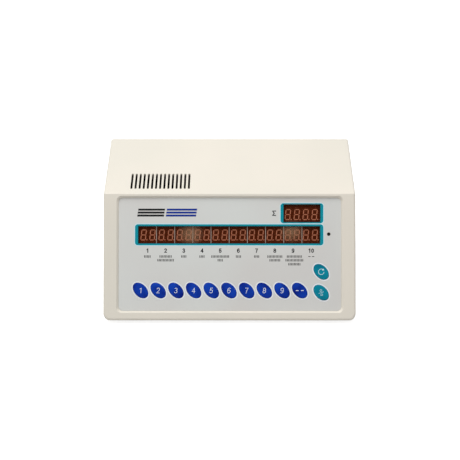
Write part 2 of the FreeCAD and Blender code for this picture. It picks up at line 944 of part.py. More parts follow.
def board_chips():
    """Return the controller, the display drivers and the cable header behind the board."""
    under = board_under
    chips = [slab((0, board_bottom + chip_rise), controller_length, controller_width,
                  under - chip_height, under)]
    for number in range(driver_count):
        shift = (number - (driver_count - 1) / 2) * driver_pitch
        chips.append(slab((shift, board_bottom + driver_rise), driver_length, driver_width,
                          under - chip_height, under))
    header_u = power_board_left + power_board_width / 2
    chips.append(slab((header_u, board_bottom + header_rise), header_length, header_width,
                      under - header_height, under))
    return [placed(chip, panel_place) for chip in chips]


def power_board():
    """Return the power supply's board."""
    middle = (power_board_left + power_board_width / 2, power_board_front + power_board_depth / 2)
    board = rounded_plate(middle, power_board_width, power_board_depth, board_corner,
                          power_board_under, power_board_top)
    holes = [disc(place, small_screw_radius + screw_hole_clearance,
                  power_board_under - overrun, power_board_top + overrun)
             for place in post_places()]
    return board.cut(holes)


def core_middle():
    """Return the transformer's place on the power board, as x and y."""
    return (power_board_left + core_from_left + 3 * leg_half_width,
            power_board_front + core_from_front + core_stack / 2)


def transformer_core():
    """Return the laminated core with its two windows."""
    x, y = core_middle()
    half = 3 * leg_half_width
    height = core_window_height + 2 * leg_half_width
    core = box((x - half, y - core_stack / 2, power_board_top),
               (x + half, y + core_stack / 2, power_board_top + height))
    low_z = power_board_top + leg_half_width
    windows = []
    for side in (-1, 1):
        near = x + side * leg_half_width
        far = x + side * 2 * leg_half_width
        windows.append(box((min(near, far), y - core_stack / 2 - overrun, low_z),
                           (max(near, far), y + core_stack / 2 + overrun,
                            low_z + core_window_height)))
    return core.cut(windows)


def transformer_coil():
    """Return the winding around the core's middle leg."""
    x, y = core_middle()
    low_z = power_board_top + leg_half_width + coil_gap
    high_z = power_board_top + leg_half_width + core_window_height - coil_gap
    coil = slab((x, y), 4 * leg_half_width - 2 * coil_gap, core_stack + 2 * coil_overhang,
                low_z, high_z)
    leg = slab((x, y), 2 * leg_half_width, core_stack, low_z - overrun, high_z + overrun)
    return coil.cut(leg)


def capacitor(place, radius, height):
    """Return one upright capacitor with a rounded top."""
    body = disc(place, radius, power_board_top, power_board_top + height)
    rims = [edge for edge in body.Edges
            if math.isclose(edge.BoundBox.ZMin, power_board_top + height)
            and edge.BoundBox.XLength > radius]
    return body.makeFillet(capacitor_rim, rims)


def power_parts():
    """Return the capacitors, heat sink, fuse, terminal block and header on the power board."""
    top = power_board_top
    part_x = power_board_left + power_board_width - part_from_right
    part_y = power_board_front + part_from_front
    parts = [capacitor((part_x, part_y), capacitor_radius, capacitor_height),
             capacitor((part_x, part_y + part_spacing), small_capacitor_radius,
                       small_capacitor_height)]
    sink_place = (part_x, part_y + 2 * part_spacing)
    sink = slab(sink_place, sink_width, sink_depth, top, top + sink_height)
    hollow = slab((sink_place[0], sink_place[1] + sink_wall), sink_width - 2 * sink_wall,
                  sink_depth, top + sink_wall, top + sink_height + overrun)
    parts.append(sink.cut(hollow))
    fuse_x, fuse_y = fuse_place()
    clip_z = top + fuse_clip_height
    for side in (-1, 1):
        clip_x = fuse_x + side * (fuse_length - fuse_clip_width) / 2
        parts.append(slab((clip_x, fuse_y), fuse_clip_width, 2 * fuse_radius, top, clip_z))
    block_x, block_y = terminal_block_place()
    parts.append(slab((block_x, block_y), terminal_block_width, terminal_block_depth, top,
                      top + terminal_block_height))
    parts.append(slab(ribbon_header_place(), header_length, header_width, top,
                      top + header_height))
    tube = Part.makeCylinder(fuse_radius, fuse_length,
                             Vector(fuse_x - fuse_length / 2, fuse_y, clip_z + fuse_radius),
                             x_axis)
    parts.append(tube)
    return parts


def terminal_block_place():
    """Return the terminal block's place on the power board."""
    return (core_middle()[0],
            power_board_front + power_board_depth - terminal_block_inset)


def fuse_place():
    """Return the fuse's place on the power board, between the winding and the terminals."""
    winding_back = core_middle()[1] + core_stack / 2 + coil_overhang
    block_front = terminal_block_place()[1] - terminal_block_depth / 2
    return (core_middle()[0], (winding_back + block_front) / 2)


def ribbon_header_place():
    """Return the place of the power board's cable header."""
    return (power_board_left + power_board_width / 2, power_board_front + header_width / 2)


def sweep(points, profile_maker):
    """Return a solid swept along straight runs joined by tangent arcs."""
    edges = []
    last = points[0]
    radii = []
    for before, corner, after in zip(points, points[1:], points[2:]):
        back = (before - corner).normalize()
        ahead = (after - corner).normalize()
        half_angle = back.getAngle(ahead) / 2
        trim = lead_bend_share * min((before - corner).Length, (after - corner).Length)
        radius = trim * math.tan(half_angle)
        radii.append(round(radius, 1))
        start = corner + back * trim
        end = corner + ahead * trim
        centre = corner + (back + ahead).normalize() * (trim / math.cos(half_angle))
        bulge = centre + (corner - centre).normalize() * radius
        edges.append(Part.makeLine(last, start))
        edges.append(Part.Arc(start, bulge, end).toShape())
        last = end
    edges.append(Part.makeLine(last, points[-1]))
    path = Part.Wire(edges)
    profile = profile_maker(points[0], (points[1] - points[0]).normalize())
    print("bend radii", radii, "length", round(path.Length, 1))
    return path.makePipeShell([profile], True, False)


def round_profile(point, direction):
    """Return a wire's round section."""
    return Part.Wire([Part.makeCircle(lead_radius, point, direction)])


def ribbon_profile(point, direction):
    """Return the flat cable's section, with its width along X."""
    across = direction.cross(x_axis).normalize() * (ribbon_thickness / 2)
    side = x_axis * (ribbon_width / 2)
    corners = [point + across + side, point + across - side, point - across - side,
               point - across + side, point + across + side]
    return Part.makePolygon(corners)


def ribbon_cable():
    """Return the flat cable from the panel board's header to the power board's header."""
    header_u = power_board_left + power_board_width / 2
    level = board_under - header_height
    start = panel_place.multVec(Vector(header_u, board_bottom + header_rise, level))
    leave = panel_place.multVec(Vector(header_u, board_bottom + header_rise,
                                       level - ribbon_slack / 2))
    end_x, end_y = ribbon_header_place()
    end = Vector(end_x, end_y, power_board_top + header_height)
    above = end + Vector(0, 0, ribbon_slack)
    return sweep([start, leave, above, end], ribbon_profile)


def mains_inlet():
    """Return the inlet: flange, body and the keyed hollow that a plug enters."""
    flange = rounded_plate((0, 0), inlet_flange_width, inlet_flange_height, inlet_flange_corner,
                           0, inlet_flange_thickness)
    body = slab((0, 0), inlet_body_width, inlet_body_height, -inlet_body_depth, 0)
    half_width = inlet_cavity_width / 2
    half_height = inlet_cavity_height / 2
    cut = inlet_cavity_chamfer
    outline = [Vector(-half_width, -half_height, 0), Vector(half_width, -half_height, 0),
               Vector(half_width, half_height - cut, 0), Vector(half_width - cut, half_height, 0),
               Vector(cut - half_width, half_height, 0), Vector(-half_width, half_height - cut, 0),
               Vector(-half_width, -half_height, 0)]
    hollow = Part.Face(Part.makePolygon(outline)).extrude(Vector(0, 0, inlet_cavity_depth))
    mouth = Placement(Vector(0, 0, inlet_flange_thickness - inlet_cavity_depth), Rotation())
    inlet = flange.fuse(body).cut(placed(hollow, mouth))
    inlet = inlet.cut([slab(place, pin_width, pin_height, -inlet_body_depth - overrun, 0)
                       for place in pin_places()])
    return placed(inlet.removeSplitter(), rear_place(inlet_x))


def pin_places():
    """Return the three pins' places on the inlet."""
    return [(-pin_spread, -pin_offset), (0, pin_offset), (pin_spread, -pin_offset)]


def rear_place(x):
    """Return the placement of a fitting on the rear panel's outer face."""
    turn = Rotation(z_axis, half_turn).multiply(Rotation(x_axis, quarter_turn))
    return Placement(Vector(x, rear_panel_face, rear_panel_z), turn)


def mains_terminals():
    """Return the inlet's pins with their tabs, and the power switch's tabs."""
    pieces = []
    for place in pin_places():
        front = inlet_flange_thickness - inlet_cavity_depth + pin_length
        pin = slab(place, pin_width, pin_height, -inlet_body_depth, front)
        tab = slab(place, tab_width, tab_height, -inlet_body_depth - tab_length,
                   -inlet_body_depth)
        pieces.append(placed(pin.fuse(tab), rear_place(inlet_x)))
    for side in (-1, 1):
        tab = slab((0, side * switch_tab_spread / 2), tab_height, tab_width,
                   -housing_depth - tab_length, -housing_depth)
        pieces.append(placed(tab, rear_place(rocker_x)))
    return pieces


def rocker_housing():
    """Return the power switch's housing with its bezel, well and pivot holes."""
    bezel = rounded_plate((0, 0), bezel_width, bezel_height, bezel_corner, 0, bezel_thickness)
    body = slab((0, 0), housing_width, housing_height, -housing_depth, 0)
    well = slab((0, 0), well_width, well_height, bezel_thickness - well_depth,
                bezel_thickness + overrun)
    pivot_level = bezel_thickness - rocker_pivot_depth
    pivot = Part.makeCylinder(trunnion_radius + trunnion_clearance, housing_width,
                              Vector(-housing_width / 2, 0, pivot_level), x_axis)
    return placed(bezel.fuse(body).cut([well, pivot]), rear_place(rocker_x))


def power_rocker():
    """Return the rocker, tipped to the off side, with a stub at each end of its pivot."""
    outline = [(-rocker_base_half, -rocker_base_drop), (rocker_base_half, -rocker_base_drop),
               (rocker_shoulder, 0), (rocker_half_height, rocker_end_rise),
               (0, rocker_middle_rise), (-rocker_half_height, rocker_end_rise),
               (-rocker_shoulder, 0)]
    corners = [Vector(-rocker_width / 2, rise, out) for rise, out in outline]
    corners.append(corners[0])
    body = Part.Face(Part.makePolygon(corners)).extrude(Vector(rocker_width, 0, 0))
    length = rocker_width + 2 * trunnion_length
    stub = Part.makeCylinder(trunnion_radius, length, Vector(-length / 2, 0, 0), x_axis)
    rocker = placed(body.fuse(stub), Placement(Vector(0, 0, 0),
                                               Rotation(x_axis, rocker_half_swing)))
    pivot = Placement(Vector(0, 0, bezel_thickness - rocker_pivot_depth), Rotation())
    return placed(placed(rocker, pivot), rear_place(rocker_x))


def screw(radius, length, head_radius, head_height):
    """Return a cross head screw along Z with its head's underside at zero."""
    shank = disc((0, 0), radius, -length, 0)
    head = disc((0, 0), head_radius, 0, head_height)
    slot_length = 2 * head_radius * cross_share
    level = head_height - cross_depth
    slots = [slab((0, 0), slot_length, cross_width, level, head_height + overrun),
             slab((0, 0), cross_width, slot_length, level, head_height + overrun)]
    return shank.fuse(head).cut(slots).removeSplitter()


def small_screw():
    """Return one of the small screws."""
    return screw(small_screw_radius, small_screw_length, small_screw_head_radius,
                 small_screw_head_height)


def case_screws():
    """Return the screws that hold the tray to the cover."""
    upright = screw(case_screw_radius, case_screw_length, case_screw_head_radius,
                    case_screw_head_height)
    turned = Rotation(x_axis, half_turn)
    return [placed(upright, Placement(Vector(x, y, base_z + counterbore_depth), turned))
            for x, y in column_places()]


def board_screws():
    """Return the screws of the panel board and the power board."""
    screws = []
    for u, v in board_boss_places():
        turned = Placement(Vector(u, v, board_under), Rotation(x_axis, half_turn))
        screws.append(placed(placed(small_screw(), turned), panel_place))
    for x, y in post_places():
        screws.append(placed(small_screw(), Placement(Vector(x, y, power_board_top),
                                                      Rotation())))
    return screws


def panel_screws():
    """Return the rear panel's screws."""
    return [placed(small_screw(), Placement(Vector(x, rear_panel_face, z),
                                            Rotation(x_axis, -quarter_turn)))
            for x, z in rear_screw_places()]


def rubber_feet():
    """Return the feet, each seated in a shallow recess of the base."""
    feet = []
    for place in foot_places():
        foot = disc(place, foot_radius, 0, base_z + foot_seat_depth)
        rims = [edge for edge in foot.Edges
                if math.isclose(edge.BoundBox.ZMax, 0, abs_tol=edge_match)
                and edge.BoundBox.XLength > foot_radius]
        feet.append(foot.makeFillet(foot_edge_radius, rims))
    return feet


def mains_leads():
    """Return the two leads from the inlet and the power switch to the terminal block."""
    leads = []
    block_x, block_y = terminal_block_place()
    block_top = power_board_top + terminal_block_height
    tab_end = rear_panel_face - inlet_body_depth - tab_length
    for side in (-1, 1):
        start = Vector(inlet_x + side * pin_spread, tab_end, rear_panel_z - pin_offset)
        end = Vector(block_x + side * terminal_pitch / 2, block_y, block_top)
        drop = start.z - end.z
        ahead = start - Vector(0, lead_ahead_share * drop, 0)
        above = end + Vector(0, 0, lead_above_share * drop)
        leads.append(sweep([start, ahead, above, end], round_profile))
    return leads


def write_part(name, pieces):
    """Write one node's solids to its file."""
    if isinstance(pieces, list):
        shape = Part.makeCompound(pieces)
    else:
        shape = pieces
    shape.exportStep(f"parts/{name}.step")
    solids = shape.Solids
    good = shape.isValid() and all(solid.Volume > 0 for solid in solids)
    print(name, len(solids), round(shape.Volume, 1), "valid" if good else "NOT VALID")


def main():
    """Build every piece and write it."""
    os.makedirs("parts", exist_ok=True)
    write_part("top_cover", top_cover())
    write_part("base_tray", base_tray())
    write_part("rear_panel", rear_panel())
    write_part("overlay_film", overlay_film())
    write_part("main_window", window((window_shift, main_window_v), main_window_width,
                                     main_window_height))
    write_part("total_window", window((total_window_u, total_window_v), total_window_width,
                                      total_window_height))
    write_part("panel_board", panel_board())
    for number, place in enumerate(display_places()):
        write_part(f"counter_display_{number + 1}", display_module(place, display_width))
    write_part("total_display", display_module((total_window_u, total_window_v),
                                               total_display_width))
    write_part("display_segments", display_segments())
    write_part("switch_bodies", switch_bodies())
    for name, place in key_places():
        write_part(name, key_cap(place))
        write_part(f"{name}_plunger", plunger(place))
    write_part("buzzer", buzzer())
    write_part("board_chips", board_chips())
    write_part("power_board", power_board())
    write_part("transformer_core", transformer_core())
    write_part("transformer_coil", transformer_coil())
    write_part("power_parts", power_parts())
    write_part("ribbon_cable", ribbon_cable())
    write_part("mains_inlet", mains_inlet())
    write_part("mains_terminals", mains_terminals())
    write_part("mains_leads", mains_leads())
    write_part("rocker_housing", rocker_housing())
    write_part("power_rocker", power_rocker())
    write_part("case_screws", case_screws())
    write_part("board_screws", board_screws())
    write_part("panel_screws", panel_screws())
    write_part("rubber_feet", rubber_feet())


main()
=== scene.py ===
import json
import math

import bpy
from mathutils import Matrix, Vector


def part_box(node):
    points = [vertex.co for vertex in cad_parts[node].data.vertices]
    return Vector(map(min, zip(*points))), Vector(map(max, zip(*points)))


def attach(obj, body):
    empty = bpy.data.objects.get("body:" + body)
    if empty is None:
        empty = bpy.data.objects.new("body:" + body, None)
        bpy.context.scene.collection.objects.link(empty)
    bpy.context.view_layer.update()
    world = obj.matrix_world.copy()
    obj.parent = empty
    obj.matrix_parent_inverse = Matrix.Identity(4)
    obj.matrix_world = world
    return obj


# Differential cell counter: finishes, printed marks, stage, lights and camera.
# Lengths are in metres, angles in degrees where a name says so, and colours are linear.

MM = 0.001

# Camera, fitted to the photograph
image_side_px = 460
focal_px = 1625.3
sensor_mm = 36.0
camera_azimuth_degrees = 0.062
camera_elevation_degrees = 26.30
camera_distance = 1398.8 * MM
camera_target = Vector((0.34 * MM, 0.0, 50.2 * MM))
near_clip = 10.0 * MM
far_clip = 50000.0 * MM

# Key outline, as in the part's own sizes
key_half_length = 7.5 * MM
key_half_width = 4.95 * MM
key_turn_degrees = -46.0
key_gap = 0.2 * MM

# Ink on the film
ink_height = 0.03 * MM
ink_sink = 0.02 * MM
ink_step = 0.01 * MM
rim_gap = 0.03 * MM
rim_width = 0.95 * MM

# Window borders, as wide as the film's cut-outs leave them
pocket_gap = 0.1 * MM
border_corner = 2.3 * MM
inner_corner = 0.05 * MM
main_border_side = 2.75 * MM
main_border_top = 1.65 * MM
total_border_side = 2.6 * MM
total_border_top = 0.95 * MM
outline_width = 0.6 * MM
# Width of the dark line of painted shade inside each window border
painted_shade_width = 0.28 * MM

# Numbers under the displays and rows of plain marks under them, measured down from the
# window, with how many marks each row of a column has
number_pitch = 15.17 * MM
number_shift = -0.2 * MM
number_height = 3.6 * MM
number_stroke = 0.7 * MM
number_drop = 4.45 * MM
label_height = 2.0 * MM
label_drops = (9.35 * MM, 12.45 * MM, 15.75 * MM)
label_mark_width = 0.62 * MM
label_pitch = 1.17 * MM
label_mark_counts = ((5,), (9, 12), (4,), (4,), (13, 4), (4,), (4,), (11, 8), (11, 13, 9))
ninth_label_shift = 1.1 * MM
dash_length = 1.9 * MM
dash_stroke = 0.56 * MM
dash_spread = 3.1 * MM

# Sum sign beside the total window
sum_height = 4.4 * MM
sum_stroke = 0.8 * MM
sum_from_window = 5.4 * MM

# Plain stripes at the panel's upper left
stripe_count = 3
stripe_block_width = 49.0 * MM
stripe_block_height = 7.4 * MM
stripe_from_film_edge = 15.9 * MM
stripe_above_window = 9.75 * MM
stripe_gap = 1.6 * MM
stripe_lean = 1.2 * MM
dark_stripe_share = 0.47
stripe_fill_share = 0.66

# Marks on the keys
key_number_height = 4.5 * MM
key_number_stroke = 0.42 * MM
key_number_lean_share = 0.1
key_dash_length = 2.2 * MM
key_dash_stroke = 0.6 * MM
key_dash_spread = 4.3 * MM
percent_height = 4.2 * MM
percent_stroke = 0.29 * MM
arrow_radius = 2.3 * MM
arrow_stroke = 0.42 * MM
arrow_start_degrees = 60.0
arrow_sweep_degrees = 290.0
arrow_head_length = 1.5 * MM
arrow_head_half = 1.0 * MM
legend_height = 0.03 * MM
legend_sink = 0.1 * MM

# Pale edges where two display modules meet
joint_width = 0.55 * MM
joint_shift = -0.1 * MM
joint_height = 0.12 * MM

# Marks on the power switch, how nearly a face of the rocker must point outward,
# and how nearly it must match the largest such face
switch_mark_height = 2.6 * MM
switch_mark_stroke = 0.5 * MM
outward_share = 0.7
same_way_share = 0.9999

# Painted reflections on the windows, as soft patches where the tint covers more: along the panel, up from
# the main window's middle and how far they reach, then how much they cover at the least and at the most
painted_glare_patches = ((-32.5 * MM, 1.0 * MM, 13.0 * MM), (51.5 * MM, 3.0 * MM, 12.0 * MM))
painted_glare_cover_shares = (0.004, 0.17)

# How deep the grain of the surfaces is
case_grain_depth = 0.02 * MM
film_grain_depth = 0.006 * MM
key_grain_depth = 0.008 * MM
ink_grain_depth = 0.003 * MM
fine_grain_depth = 0.01 * MM
moulded_grain_depth = 0.03 * MM
paint_grain_depth = 0.04 * MM
rubber_grain_depth = 0.08 * MM

# The levels of a noise between which a surface changes, how strong its grain is, and how
# much finer the noise is along X, Y and Z, which draws the transformer's laminations
noise_start = 0.35
noise_end = 0.65
grain_strength = 0.35
even_fineness = (1.0, 1.0, 1.0)
lamination_fineness = (1.0, 40.0, 1.0)

# How strokes are drawn
arc_step_degrees = 11.25
mitre_limit_share = 0.6
sign_gap_share = 0.26
closing_share = 0.01

# Stage: the floor's lift is the light that it adds where it is seen
white_light = (1.0, 1.0, 1.0, 1.0)
floor_half_side = 8000.0 * MM
floor_tone = 0.62
floor_roughness = 0.9
floor_lift = 0.80
world_level = 0.415
top_light_place = Vector((-220.0 * MM, -160.0 * MM, 1400.0 * MM))
top_light_side = 900.0 * MM
top_light_watts = 14.7
top_light_aim = Vector((0.0, 0.0, 50.0 * MM))

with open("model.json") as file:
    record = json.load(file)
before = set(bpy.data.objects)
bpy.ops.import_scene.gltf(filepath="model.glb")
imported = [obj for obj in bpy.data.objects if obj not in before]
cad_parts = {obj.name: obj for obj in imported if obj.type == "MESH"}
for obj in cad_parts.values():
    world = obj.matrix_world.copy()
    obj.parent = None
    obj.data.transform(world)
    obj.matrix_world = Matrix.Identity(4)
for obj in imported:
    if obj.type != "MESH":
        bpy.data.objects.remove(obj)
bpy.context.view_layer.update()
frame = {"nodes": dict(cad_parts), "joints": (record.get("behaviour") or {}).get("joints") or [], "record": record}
nodes = frame["nodes"]
bodies = frame["record"]["behaviour"]["bodies"]

# The panel's own directions: it faces against the way its keys are pressed
press = next(joint for joint in frame["joints"] if joint["name"] == "key_1_press")
panel_right = Vector((1.0, 0.0, 0.0))
panel_out = -Vector(press["axis"]).normalized()
panel_up = panel_out.cross(panel_right)


def panel_plane(u, v, w):
    """Return the place of a point given along the panel, up it and out of it."""
    return panel_right * u + panel_up * v + panel_out * w


def panel_box(name):
    """Return a node's lowest and highest place along the panel, up it and out of it."""
    spots = [vertex.co for vertex in nodes[name].data.vertices]
    rows = [[spot.dot(axis) for spot in spots] for axis in (panel_right, panel_up, panel_out)]
    return Vector([min(row) for row in rows]), Vector([max(row) for row in rows])


def panel_middle(name):
    """Return the middle of a node on the panel."""
    low, high = panel_box(name)
    return (low[0] + high[0]) / 2, (low[1] + high[1]) / 2


def key_names():
    """Return the nodes that are keys."""
    return [name for name in sorted(nodes) if "key" in name and not name.endswith("_plunger")]


def body_of(name):
    """Return the body that holds a node."""
    return next(body for body, members in bodies.items() if name in members)


def add_object(name, data):
    """Return a new object in the scene."""
    thing = bpy.data.objects.new(name, data)
    bpy.context.scene.collection.objects.link(thing)
    return thing


# Materials


def new_material(name):
    """Return a fresh material, its node tree and its main shader."""
    material = bpy.data.materials.new(name)
    material.use_nodes = True
    tree = material.node_tree
    return material, tree, tree.nodes["Principled BSDF"]


def add_noise(tree, per_metre, detail=2.0, fineness=even_fineness):
    """Return a noise laid on the object's own place, as fine as its scale per metre."""
    place = tree.nodes.new("ShaderNodeTexCoord")
    mapping = tree.nodes.new("ShaderNodeMapping")
    mapping.inputs["Scale"].default_value = fineness
    noise = tree.nodes.new("ShaderNodeTexNoise")
    noise.inputs["Scale"].default_value = per_metre
    noise.inputs["Detail"].default_value = detail
    tree.links.new(place.outputs["Object"], mapping.inputs["Vector"])
    tree.links.new(mapping.outputs["Vector"], noise.inputs["Vector"])
    return noise


def add_tones(tree, shader, noise, first, second):
    """Let the base colour wander between two tones."""
    ramp = tree.nodes.new("ShaderNodeValToRGB")
    start, end = ramp.color_ramp.elements
    start.position = noise_start
    start.color = (*first, 1.0)
    end.position = noise_end
    end.color = (*second, 1.0)
    tree.links.new(noise.outputs["Fac"], ramp.inputs["Fac"])
    tree.links.new(ramp.outputs["Color"], shader.inputs["Base Color"])


def add_roughness(tree, shader, noise, low, high):
    """Let the roughness wander between two levels."""
    change = tree.nodes.new("ShaderNodeMapRange")
    change.inputs["From Min"].default_value = noise_start
    change.inputs["From Max"].default_value = noise_end
    change.inputs["To Min"].default_value = low
    change.inputs["To Max"].default_value = high
    tree.links.new(noise.outputs["Fac"], change.inputs["Value"])
    tree.links.new(change.outputs["Result"], shader.inputs["Roughness"])


def add_grain(tree, shader, noise, depth):
    """Raise a fine grain on the surface."""
    bump = tree.nodes.new("ShaderNodeBump")
    bump.inputs["Distance"].default_value = depth
    bump.inputs["Strength"].default_value = grain_strength
    tree.links.new(noise.outputs["Fac"], bump.inputs["Height"])
    tree.links.new(bump.outputs["Normal"], shader.inputs["Normal"])


def largest(tree, value, *others):
    """Return the largest of some values."""
    for other in others:
        node = tree.nodes.new("ShaderNodeMath")
        node.operation = "MAXIMUM"
        tree.links.new(value, node.inputs[0])
        tree.links.new(other, node.inputs[1])
        value = node.outputs["Value"]
    return value


def fading(tree, centre, reach):
    """Return a value that fades softly from one at a place to zero at its reach."""
    place = tree.nodes.new("ShaderNodeTexCoord")
    away = tree.nodes.new("ShaderNodeVectorMath")
    away.operation = "DISTANCE"
    away.inputs[1].default_value = centre
    tree.links.new(place.outputs["Object"], away.inputs[0])
    fade = tree.nodes.new("ShaderNodeMapRange")
    fade.interpolation_type = "SMOOTHSTEP"
    fade.inputs["From Max"].default_value = reach
    fade.inputs["To Min"].default_value = 1.0
    fade.inputs["To Max"].default_value = 0.0
    tree.links.new(away.outputs["Value"], fade.inputs["Value"])
    return fade.outputs["Result"]


def varied(colour, spread):
    """Return a darker and a lighter tone of a colour."""
    dark = [channel * (1.0 - spread) for channel in colour]
    light = [min(1.0, channel * (1.0 + spread)) for channel in colour]
    return dark, light


def plastic(name, tones, roughness, patches, grains, depth, specular=0.5):
    """Return a plastic, paint or ink, whose patches and grains are counted per metre."""
    material, tree, shader = new_material(name)
    wander = add_noise(tree, patches)
    add_tones(tree, shader, wander, *tones)
    add_roughness(tree, shader, wander, *roughness)
    add_grain(tree, shader, add_noise(tree, grains), depth)
    shader.inputs["Specular IOR Level"].default_value = specular
    return material


def metal(name, colour, roughness, fineness=even_fineness):
    """Return a metal with a fine grain."""
    material, tree, shader = new_material(name)
    add_tones(tree, shader, add_noise(tree, per_metre=60.0), *varied(colour, spread=0.06))
    brush = add_noise(tree, per_metre=900.0, detail=3.0, fineness=fineness)
    add_roughness(tree, shader, brush, *roughness)
    add_grain(tree, shader, brush, fine_grain_depth)
    shader.inputs["Metallic"].default_value = 1.0
    return material


def black_plastic(name, level, roughness, depth=moulded_grain_depth):
    """Return a black moulded plastic."""
    return plastic(name, varied((level, level, level), spread=0.12), roughness,
                   patches=60.0, grains=2200.0, depth=depth)


def case_plastic():
    """Return the ivory plastic of the case, a little lighter here and there, in broad patches that are partly its
    own tone and partly painted light and shade.
    """
    return plastic("case_plastic", ((0.762, 0.722, 0.632), (0.806, 0.752, 0.658)),
                   roughness=(0.36, 0.44), patches=9.0, grains=1800.0,
                   depth=case_grain_depth, specular=0.4)


def film_print():
    """Return the light grey print of the film, a little warmer here and there."""
    return plastic("film_print", ((0.700, 0.715, 0.690), (0.675, 0.662, 0.638)),
                   roughness=(0.30, 0.36), patches=12.0, grains=5200.0,
                   depth=film_grain_depth, specular=0.3)


def key_plastic(name, tones):
    """Return the glossy plastic of a key, its tone wandering at random, with lighter patches that are painted
    reflections.
    """
    return plastic(name, tones, roughness=(0.14, 0.24), patches=75.0, grains=900.0,
                   depth=key_grain_depth, specular=0.06)


def ink(name, colour, spread=0.06):
    """Return a printed ink."""
    return plastic(name, varied(colour, spread), roughness=(0.35, 0.45), patches=500.0,
                   grains=6000.0, depth=ink_grain_depth, specular=0.15)


def window_tint():
    """Return the clear plastic of the windows, with soft patches of painted reflection where its tint covers more.
    """
    material, tree, shader = new_material("window_tint")
    middle_v = panel_middle("main_window")[1]
    level = panel_box("main_window")[1][2]
    fades = [fading(tree, panel_plane(u, middle_v + rise, level), reach)
             for u, rise, reach in painted_glare_patches]
    cover = tree.nodes.new("ShaderNodeMapRange")
    cover.inputs["To Min"].default_value, cover.inputs["To Max"].default_value = painted_glare_cover_shares
    tree.links.new(largest(tree, *fades), cover.inputs["Value"])
    tree.links.new(cover.outputs["Result"], shader.inputs["Alpha"])
    # The brownish tones show mostly in the patches of painted reflection
    glare_tones = add_noise(tree, per_metre=60.0)
    add_tones(tree, shader, glare_tones, (0.560, 0.340, 0.190), (0.640, 0.390, 0.230))
    add_roughness(tree, shader, glare_tones, low=0.05, high=0.12)
    shader.inputs["Specular IOR Level"].default_value = 0.1
    return material


def display_housing():
    """Return the dark red plastic of the display modules."""
    return plastic("display_housing", varied((0.066, 0.0090, 0.0010), spread=0.06),
                   roughness=(0.40, 0.50), patches=120.0, grains=4000.0,
                   depth=fine_grain_depth, specular=0.03)


def segment_resin():
    """Return the diffusing resin of the segments."""
    return plastic("segment_resin", varied((0.44, 0.155, 0.085), spread=0.06),
                   roughness=(0.35, 0.50), patches=500.0, grains=5000.0,
                   depth=fine_grain_depth, specular=0.1)


def joint_plastic():
    """Return the pale edges of the display modules."""
    return plastic("joint_plastic", varied((0.36, 0.29, 0.25), spread=0.08),
                   roughness=(0.40, 0.50), patches=300.0, grains=5000.0,
                   depth=fine_grain_depth, specular=0.2)


def board_laminate():
    """Return the green lacquered laminate of the boards, with faint copper runs."""
    material, tree, shader = new_material("board_laminate")
    place = tree.nodes.new("ShaderNodeTexCoord")
    bricks = tree.nodes.new("ShaderNodeTexBrick")
    bricks.inputs["Scale"].default_value = 90.0
    bricks.inputs["Color1"].default_value = (0.010, 0.085, 0.030, 1.0)
    bricks.inputs["Color2"].default_value = (0.014, 0.110, 0.040, 1.0)
    bricks.inputs["Mortar"].default_value = (0.030, 0.170, 0.070, 1.0)
    tree.links.new(place.outputs["Object"], bricks.inputs["Vector"])
    tree.links.new(bricks.outputs["Color"], shader.inputs["Base Color"])
    weave = add_noise(tree, per_metre=3000.0)
    add_roughness(tree, shader, weave, low=0.25, high=0.35)
    add_grain(tree, shader, weave, fine_grain_depth)
    return material


def panel_paint():
    """Return the satin paint of the rear panel."""
    return plastic("panel_paint", varied((0.62, 0.58, 0.51), spread=0.015),
                   roughness=(0.42, 0.52), patches=30.0, grains=1400.0,
                   depth=paint_grain_depth)


def winding_tape():
    """Return the yellow tape around the transformer's winding."""
    return plastic("winding_tape", varied((0.55, 0.33, 0.06), spread=0.08),
                   roughness=(0.25, 0.35), patches=200.0, grains=1800.0,
                   depth=moulded_grain_depth)


def wire_skin(name, colour, spread):
    """Return the skin of the wires inside the case."""
    return plastic(name, varied(colour, spread), roughness=(0.45, 0.55), patches=150.0,
                   grains=3000.0, depth=fine_grain_depth)


def foot_rubber():
    """Return the matt rubber of the feet."""
    return plastic("foot_rubber", varied((0.022, 0.022, 0.023), spread=0.15),
                   roughness=(0.65, 0.80), patches=90.0, grains=1500.0,
                   depth=rubber_grain_depth, specular=0.3)


